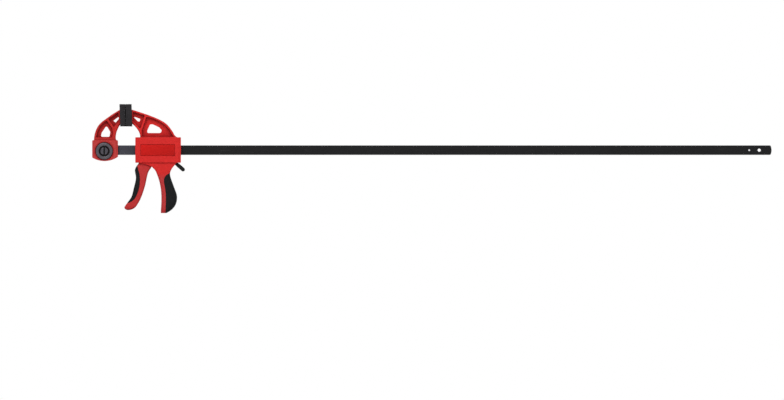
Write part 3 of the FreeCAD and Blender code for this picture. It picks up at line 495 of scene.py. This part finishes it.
def make_rubber(name, colour, seam=None):
    """Soft black rubber: fine matt stipple, a little dust, painted shade in corners, and painted
    shade along the middle where a reach for it is given.
    """
    shader = Shader(name)
    cloud = shader.cloud(rubber_cloud_scale, *rich_noise)
    plain = shader.mix(cloud, colour, dim(colour, rubber_cloud_share))
    corner = shader.remap(shader.corner_shade(rubber_shade_reach), *rubber_shade_ends)
    # Painted shade on the pads near the middle, where they meet
    if seam:
        aside = shader.maths("ABSOLUTE", shader.parts()[0])
        clear = shader.remap(aside, *seam)
        corner = shader.maths("MULTIPLY", corner, clear)
    plain = shader.mix(corner, dim(colour, rubber_shade_share), plain)
    dust = shader.maths("MULTIPLY", shader.cloud(dust_scale, 2.0, ends=dust_ends), dust_level)
    shader.put("Base Color", shader.mix(dust, plain, dim(colour, dust_share)))
    shader.gloss(satin_scale, rubber_rough, rubber_specular)
    stipple = shader.grain(stipple_scale, stipple_depth, stipple_strength)
    shader.put("Normal", shader.grain(swell_scale, swell_depth, swell_strength, stipple))
    return shader.material


def make_black_plastic():
    """Hard black plastic of the release lever."""
    shader = Shader("black_hard_plastic")
    cloud = shader.cloud(lever_cloud_scale)
    plain = shader.mix(cloud, black_plastic, dim(black_plastic, lever_cloud_share))
    edge = shader.corner_shade(lever_edge_reach, True)
    rubbed = shader.remap(edge, *lever_edge_ends, lever_edge_level, 0.0)
    shader.put("Base Color", shader.mix(rubbed, plain, dim(black_plastic, lever_edge_share)))
    shader.gloss(lever_rough_scale, lever_rough, lever_specular)
    shader.put("Normal", shader.grain(spark_scale, lever_grain_depth))
    return shader.material


def turned_lines(shader, radius):
    """Fine circles about the button's axis."""
    circles = shader.node("ShaderNodeCombineXYZ")
    shader.link(radius, circles.inputs["X"])
    fine = shader.noise(turned_fine_scale, 3.0, 0.7, circles.outputs["Vector"])
    coarse = shader.noise(turned_coarse_scale, 2.0, 0.6, circles.outputs["Vector"])
    both = shader.maths("MULTIPLY", shader.maths("ADD", fine, coarse), 0.5)
    return shader.remap(both, *streak_ends)


def turned_painted_shade(shader, arm, radius):
    """Painted shade: 1 in the groove round the hub, in the hub's slot and in corners."""
    low, high = groove_radii
    inner = shader.remap(radius, low, low + shade_mask_edge)
    outer = shader.remap(radius, high, high + shade_mask_edge, 1.0, 0.0)
    groove = shader.maths("MULTIPLY", inner, outer)
    corner = shader.corner_shade(turned_shade_reach)
    corner = shader.remap(corner, *turned_shade_ends, 1.0, 0.0)
    aside = shader.maths("ABSOLUTE", shader.parts(arm)[0])
    slot = shader.remap(aside, slot_half, slot_half + shade_mask_edge, 1.0, 0.0)
    within = shader.remap(radius, low, low + shade_mask_edge, 1.0, 0.0)
    dark = shader.maths("MAXIMUM", groove, corner)
    return shader.maths("MAXIMUM", dark, shader.maths("MULTIPLY", slot, within))


def make_turned_grey():
    """Grey of the button and its ring: turned in fine circles about the button's axis, with
    painted shade in the groove, the slot and corners.
    """
    shader = Shader("turned_grey")
    arm, flat, radius = shader.about(button_axis)
    lines = turned_lines(shader, radius)
    ring = shader.mix(lines, grey_plastic, dim(grey_plastic, turned_share))
    hub = shader.mix(lines, hub_grey, dim(hub_grey, turned_share))
    plain = shader.mix(shader.remap(radius, *groove_radii), hub, ring)
    dark = turned_painted_shade(shader, arm, radius)
    shader.put("Base Color", shader.mix(dark, plain, groove_shade_black))
    shader.put("Metallic", turned_metal)
    shader.put("Roughness", shader.remap(lines, 0.0, 1.0, *turned_rough))
    shader.put("Specular IOR Level", turned_specular)
    shader.put("Anisotropic", turned_stretch)
    shader.put("Tangent", shader.vector_sum("NORMALIZE", flat).outputs["Vector"])
    shader.put("Normal", shader.bump(lines, turned_depth, grain_strength))
    return shader.material


def bar_slate_tone(shader, streaks, along):
    """Slate grey of the bar between the jaws: paler on its left, with painted shade beside the
    mouldings.
    """
    fade = shader.remap(along, -slate_fade_half, slate_fade_half)
    left, right = [dim(bar_slate, share) for share in slate_fade_shares]
    pale = shader.mix(fade, left, right)
    streaked = shader.maths("MULTIPLY", streaks, slate_streak_level)
    pale = shader.mix(streaked, pale, dim(bar_slate, slate_streak_share))
    # Painted shade beside the mouldings
    shade = shader.remap(shader.corner_shade(slate_shade_reach), *slate_shade_ends)
    return shader.mix(shade, dim(bar_slate, slate_shade_share), pale)


def bar_wear(shader):
    """Lengthways scuffs and rubbed edges."""
    scratch = shader.drawn(bar_scratch_stretch, 2.0, 0.5, bar_scratch_ends)
    scuffs = shader.maths("MULTIPLY", scratch, bar_scratch_level)
    edge = shader.corner_shade(bar_edge_reach, True)
    rubbed = shader.remap(edge, *edge_ends, bar_edge_level, 0.0)
    return shader.maths("MAXIMUM", scuffs, rubbed)


def make_bar_finish():
    """Blackened steel bar: drawn lengthways, scuffed, rubbed at its edges, slate by the jaws."""
    shader = Shader("blackened_bar")
    streaks = shader.drawn(bar_streak_stretch, *rich_noise, streak_ends)
    fine = shader.noise(1.0, 3.0, 0.6, shader.stretched(bar_grain_stretch))
    along = shader.parts()[0]
    near_jaws = shader.remap(along, *slate_end, 1.0, 0.0)
    dark = shader.mix(streaks, bar_black, dim(bar_black, bar_streak_share))
    plain = shader.mix(near_jaws, dark, bar_slate_tone(shader, streaks, along))
    clouds = shader.drawn(bar_cloud_stretch, *soft_noise, bar_cloud_ends)
    clouds = shader.maths("MULTIPLY", clouds, bar_cloud_level)
    plain = shader.mix(clouds, plain, dim(bar_black, bar_cloud_share))
    shader.put("Base Color", shader.mix(bar_wear(shader), plain, bar_worn))
    shader.put("Roughness", shader.remap(fine, *cloud_ends, *bar_rough))
    shader.put("Specular IOR Level", bar_specular)
    shader.put("Normal", shader.bump(fine, bar_grain_depth, grain_strength))
    return shader.material


def make_steel(name, colour, rough):
    """Bare steel with fine scratches."""
    shader = Shader(name)
    cloud = shader.cloud(steel_cloud_scale, 4.0)
    shader.put("Base Color", shader.mix(cloud, colour, dim(colour, steel_share)))
    shader.put("Metallic", 1.0)
    levels = (rough, rough + steel_rough_spread)
    shader.put("Roughness", shader.cloud(steel_rough_scale, 2.0, levels=levels))
    shader.put("Normal", shader.grain(steel_grain_scale, steel_grain_depth))
    return shader.material


def dress_nodes(finishes):
    """Give every node its finish."""
    for name, piece in nodes.items():
        finish = finishes.get(name, finishes["other"])
        for slot in piece.material_slots:
            slot.material = finish


def placed(name, data):
    """A new object in the scene."""
    thing = bpy.data.objects.new(name, data)
    bpy.context.scene.collection.objects.link(thing)
    return thing


def mesh_of(shape, name):
    """A mesh made from a finished shape."""
    mesh = bpy.data.meshes.new(name)
    shape.to_mesh(mesh)
    shape.free()
    return mesh


def add_piece(name, mesh, body, finish):
    """A piece of the scene that rides on a body."""
    piece = placed(name, mesh)
    mesh.materials.clear()
    mesh.materials.append(finish)
    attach(piece, body)
    return piece


def fresh_mesh(piece):
    """The mesh of a piece with its modifiers applied."""
    view = bpy.context.evaluated_depsgraph_get()
    return bpy.data.meshes.new_from_object(piece.evaluated_get(view))


def close_grooves(mesh):
    """Add the wall that closes the middle of a pad's grooves to its mesh."""
    xs = [point.co.x for point in mesh.vertices]
    zs = [point.co.z for point in mesh.vertices]
    face = min(xs, key=abs)
    inner = face + math.copysign(groove_wall_depth, sum(xs))
    low, high = min(zs) + groove_wall_end, max(zs) - groove_wall_end
    shape = bmesh.new()
    shape.from_mesh(mesh)
    middle = Vector(((face + inner) / 2, 0.0, (low + high) / 2))
    size = (groove_wall_depth, 2 * groove_wall_half, high - low)
    scale = Matrix.Diagonal((*size, 1.0))
    bmesh.ops.create_cube(shape, size=1.0, matrix=Matrix.Translation(middle) @ scale)
    shape.to_mesh(mesh)
    shape.free()


def eased_mesh(name, node, voxel, grooved=False):
    """A node's mesh with its edges eased."""
    scratch = placed("scratch", nodes[node].data.copy())
    if grooved:
        close_grooves(scratch.data)
    remesh = scratch.modifiers.new("remesh", "REMESH")
    remesh.mode = "VOXEL"
    remesh.voxel_size = voxel
    ease = scratch.modifiers.new("ease", "SMOOTH")
    ease.factor = ease_factor
    ease.iterations = ease_rounds
    mesh = fresh_mesh(scratch)
    mesh.name = name
    bpy.data.objects.remove(scratch)
    return mesh


def add_lever(finish):
    """The release lever with eased edges, a fuller tab and ridges under the thumb."""
    mesh = eased_mesh("release_lever_moulded", "release_lever", lever_voxel)
    along = (tab_tip - tab_root).normalized()
    over = Vector((-along.z, 0.0, along.x))
    normals = [point.normal.copy() for point in mesh.vertices]
    for point, normal in zip(mesh.vertices, normals):
        arm = point.co - tab_root
        reach = arm.dot(along)
        share = min(max((reach - tab_swell_start) / tab_swell_run, 0.0), 1.0)
        aside = Vector((normal.x, 0.0, normal.z))
        push = tab_swell * share
        if ridge_start < reach < ridge_end and normal.dot(over) > ridge_facing:
            wave = math.sin(math.pi * (reach - ridge_start) / ridge_pitch) ** 2
            edge = min(max((ridge_half - abs(point.co.y)) / ridge_fade, 0.0), 1.0)
            push += ridge_height * wave * edge
        point.co += aside * push
    mesh.shade_smooth()
    piece = add_piece("release_lever_moulded", mesh, "release", finish)
    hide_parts("release_lever")
    return piece


def add_moulded_rubber(name, node, body, finish, grooved=False):
    """A soft moulding with eased edges that stands for its plain solid."""
    mesh = eased_mesh(name, node, rubber_voxel, grooved)
    for point in mesh.vertices:
        depth = abs(point.co.x)
        if grooved and depth < face_zone:
            point.co.x = math.copysign(max(depth - face_swell, face_clear), point.co.x)
    mesh.shade_smooth()
    piece = add_piece(name, mesh, body, finish)
    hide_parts(node)
    return piece


def add_coil(node, body, finish):
    """A coil, smoothly shaded, that rides on its body in place of its node."""
    mesh = nodes[node].data.copy()
    mesh.shade_smooth()
    piece = add_piece(node + "_coil", mesh, body, finish)
    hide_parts(node)
    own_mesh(piece)
    return piece


def add_label(finish):
    """A bare plate with rounded corners in the body's recess."""
    low_x, low_z = label_low[0] + label_gap, label_low[1] + label_gap
    high_x, high_z = label_high[0] - label_gap, label_high[1] - label_gap
    ring = []
    for corner_x, corner_z, start in (
        (high_x, high_z, 0.0), (low_x, high_z, 0.5), (low_x, low_z, 1.0), (high_x, low_z, 1.5)
    ):
        side_x = label_corner if corner_x == low_x else -label_corner
        side_z = label_corner if corner_z == low_z else -label_corner
        for step in range(label_corner_steps + 1):
            angle = math.pi * (start + 0.5 * step / label_corner_steps)
            ring.append((
                corner_x + side_x + label_corner * math.cos(angle),
                corner_z + side_z + label_corner * math.sin(angle),
            ))
    shape = bmesh.new()
    face = shape.faces.new([shape.verts.new((x, label_back, z)) for x, z in ring])
    grown = bmesh.ops.extrude_face_region(shape, geom=[face])
    raised = [part for part in grown["geom"] if isinstance(part, bmesh.types.BMVert)]
    bmesh.ops.translate(shape, verts=raised, vec=(0.0, label_front - label_back, 0.0))
    front = [part for part in grown["geom"] if isinstance(part, bmesh.types.BMFace)]
    edges = list({edge for part in front for edge in part.edges})
    bmesh.ops.bevel(
        shape, geom=edges, offset=label_edge_round, segments=3, profile=0.5, affect="EDGES"
    )
    bmesh.ops.recalc_face_normals(shape, faces=shape.faces)
    mesh = mesh_of(shape, "label_plate")
    return add_piece("label_plate", mesh, "head", finish)


def turned(profile, steps):
    """A turned shape around the Y axis, from its radii and heights."""
    shape = bmesh.new()
    rings = []
    for radius, height in profile:
        count = steps if radius else 1
        angles = [math.tau * step / count for step in range(count)]
        rings.append([
            shape.verts.new((radius * math.cos(angle), height, radius * math.sin(angle)))
            for angle in angles
        ])
    for first, second in zip(rings, rings[1:]):
        for step in range(steps):
            corners = [
                first[step % len(first)], first[(step + 1) % len(first)],
                second[(step + 1) % len(second)], second[step % len(second)],
            ]
            shape.faces.new(list(dict.fromkeys(corners)))
    bmesh.ops.recalc_face_normals(shape, faces=shape.faces)
    return mesh_of(shape, "turned")


def recess_wing(top, lengthways):
    """One wing of a screw's cross recess, narrower towards its bottom."""
    shape = bmesh.new()
    low, high = recess_reach
    rings = []
    for height, reach in ((top - recess_depth, low), (top + recess_depth, 2 * high - low)):
        half = recess_half * (1.0 if height > top else recess_taper)
        corners = ((-reach, -half), (reach, -half), (reach, half), (-reach, half))
        rings.append([
            shape.verts.new((a, height, b) if lengthways else (b, height, a))
            for a, b in corners
        ])
    shape.faces.new(rings[0])
    shape.faces.new(rings[1])
    for side in range(4):
        nearby = (side + 1) % 4
        shape.faces.new([rings[0][side], rings[0][nearby], rings[1][nearby], rings[1][side]])
    bmesh.ops.recalc_face_normals(shape, faces=shape.faces)
    return mesh_of(shape, "wing")


def screw_mesh():
    """A pan-head screw with a cross recess and a ridged shank, its seat at zero height."""
    profile = list(screw_profile)
    shank = profile[-1][0]
    turns = int(screw_length / screw_thread_pitch) - 1
    for turn in range(turns):
        height = -screw_thread_pitch * (turn + 0.5)
        profile.append((shank - screw_thread_depth, height))
        profile.append((shank, height - screw_thread_pitch / 2))
    profile.append((shank - screw_thread_depth, -screw_length + screw_thread_pitch / 2))
    profile.append((0.0, -screw_length))
    scratch = placed("scratch", turned(profile, screw_steps))
    wings = []
    for lengthways in (True, False):
        wing = placed("wing", recess_wing(profile[0][1], lengthways))
        cut = scratch.modifiers.new("recess", "BOOLEAN")
        cut.operation = "DIFFERENCE"
        cut.solver = "EXACT"
        cut.object = wing
        wings.append(wing)
    mesh = fresh_mesh(scratch)
    for thing in [scratch] + wings:
        bpy.data.objects.remove(thing)
    return mesh


def screw_seats(node):
    """The seat of each screw, from the loose parts of the screws' node."""
    shape = bmesh.new()
    shape.from_mesh(nodes[node].data)
    bmesh.ops.remove_doubles(shape, verts=shape.verts, dist=weld)
    seats = []
    left = set(shape.verts)
    while left:
        found = [left.pop()]
        for vert in found:
            for edge in vert.link_edges:
                other = edge.other_vert(vert)
                if other in left:
                    left.discard(other)
                    found.append(other)
        xs = [vert.co.x for vert in found]
        zs = [vert.co.z for vert in found]
        top = max(vert.co.y for vert in found)
        seats.append(Vector((
            (min(xs) + max(xs)) / 2, top - screw_profile[0][1], (min(zs) + max(zs)) / 2
        )))
    shape.free()
    return sorted(seats, key=lambda seat: (round(seat.x, 4), round(seat.z, 4)))


def add_screws(node, finish):
    """The shells' screws with their cross recesses, each turned as it came tight."""
    pattern = screw_mesh()
    shape = bmesh.new()
    for index, seat in enumerate(screw_seats(node)):
        screw = pattern.copy()
        turn = Matrix.Rotation(screw_turn * index, 4, "Y")
        screw.transform(Matrix.Translation(seat) @ turn)
        shape.from_mesh(screw)
    mesh = mesh_of(shape, "shell_screw_heads")
    mesh.shade_smooth()
    mesh.set_sharp_from_angle(angle=screw_sharp)
    piece = add_piece("shell_screw_heads", mesh, "head", finish)
    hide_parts(node)
    return piece


def look_at(thing, target):
    """Turn a lamp or camera towards a point."""
    way = target - thing.location
    thing.rotation_euler = way.to_track_quat("-Z", "Y").to_euler()


def add_lamp(name, place, size, power):
    """A soft rectangular studio lamp."""
    data = bpy.data.lights.new(name, "AREA")
    data.shape = "RECTANGLE"
    data.size = size[0]
    data.size_y = size[1]
    data.energy = power
    lamp = placed(name, data)
    lamp.location = place
    look_at(lamp, lamp_target)


def seen_rays(tree):
    """1 for rays that see the background: camera, glossy and transmission rays."""
    path = tree.nodes.new("ShaderNodeLightPath").outputs
    seen = path["Is Camera Ray"]
    for name in ("Is Glossy Ray", "Is Transmission Ray"):
        most = tree.nodes.new("ShaderNodeMath")
        most.operation = "MAXIMUM"
        tree.links.new(seen, most.inputs[0])
        tree.links.new(path[name], most.inputs[1])
        seen = most.outputs["Value"]
    return seen


def add_floor():
    """A white floor that the grip's tip stands on."""
    half = floor_size / 2
    low = cad_box[0][2] - floor_gap
    mesh = bpy.data.meshes.new("floor")
    corners = [(-half, -half, low), (half, -half, low), (half, half, low), (-half, half, low)]
    mesh.from_pydata(corners, [], [(0, 1, 2, 3)])
    floor = placed("floor", mesh)
    shader = Shader("floor_white")
    around = shader.vector_sum("SUBTRACT", shader.place(), (floor_middle, 0.0, low))
    shared = shader.vector_sum("MULTIPLY", around.outputs["Vector"], floor_glow_shape)
    radius = shader.vector_sum("LENGTH", shared.outputs["Vector"]).outputs["Value"]
    glow = shader.remap(radius, floor_glow_start, floor_glow_end, floor_glow_near, 1.0)
    shader.put("Emission Strength", shader.maths("MULTIPLY", glow, seen_rays(shader.tree)))
    shader.put("Emission Color", (1.0, 1.0, 1.0))
    shader.put("Base Color", floor_white)
    shader.put("Roughness", floor_rough)
    shader.put("Specular IOR Level", 0.0)
    mesh.materials.append(shader.material)


def add_sky():
    """A plain sky that lights softly and shows white behind the clamp."""
    world = bpy.data.worlds.new("studio")
    world.use_nodes = True
    tree = world.node_tree
    background = tree.nodes["Background"]
    background.inputs["Color"].default_value = (1.0, 1.0, 1.0, 1.0)
    level = tree.nodes.new("ShaderNodeMapRange")
    level.inputs["To Min"].default_value = sky_level
    level.inputs["To Max"].default_value = 1.0
    tree.links.new(seen_rays(tree), level.inputs["Value"])
    tree.links.new(level.outputs["Result"], background.inputs["Strength"])
    bpy.context.scene.world = world


def add_camera():
    """The photograph's view: straight at the front, without perspective."""
    data = bpy.data.cameras.new("camera")
    data.type = "ORTHO"
    data.ortho_scale = view_width
    camera = placed("camera", data)
    camera.location = view_centre - Vector((0.0, camera_distance, 0.0))
    camera.rotation_euler = (math.pi / 2, 0.0, 0.0)
    bpy.context.scene.camera = camera


head_red = make_red_plastic("head_moulding", red, red_grip_shaded, grip_shade_below)
jaw_red = make_red_plastic("jaw_moulding", red_jaw_shaded, red_foot_shaded, foot_top, True)
trigger_red = make_red_plastic(
    "trigger_moulding", red_trigger_shaded, red_trigger_low_shaded, trigger_shade_below
)
rubber = make_rubber("grip_rubber_finish", rubber_black)
pad_rubber = make_rubber("pad_rubber_finish", pad_black, (pad_gap_shade_core, pad_gap_shade))
turned_grey = make_turned_grey()
bright = make_steel("bright_steel_parts", steel_bright, steel_rough)
dress_nodes({
    "bar": make_bar_finish(),
    "fixed_jaw": jaw_red, "head_shell_front": head_red,
    "head_shell_rear": head_red, "trigger": trigger_red,
    "jaw_button": turned_grey, "jaw_button_collar": turned_grey,
    "other": bright,
})
add_moulded_rubber("fixed_pad_rubber", "fixed_jaw_pad", "bar_and_fixed_jaw", pad_rubber, True)
add_moulded_rubber("moving_pad_rubber", "moving_jaw_pad", "head", pad_rubber, True)
add_moulded_rubber("grip_rubber", "grip_cover", "head", rubber)
add_moulded_rubber("trigger_rubber", "trigger_cover", "squeeze_trigger", rubber)
add_label(make_label_finish())
add_screws("shell_screws", bright)
add_lever(make_black_plastic())
add_coil(
    "drive_spring", "head", bright
)
add_coil(
    "jaw_button_spring", "bar_and_fixed_jaw",
    bright,
)
add_floor()
add_sky()
add_lamp("key", key_place, key_size, key_power)
add_lamp("fill", fill_place, fill_size, fill_power)
add_lamp("back", back_place, back_size, back_power)
add_camera()
bpy.context.scene.view_settings.view_transform = "Standard"
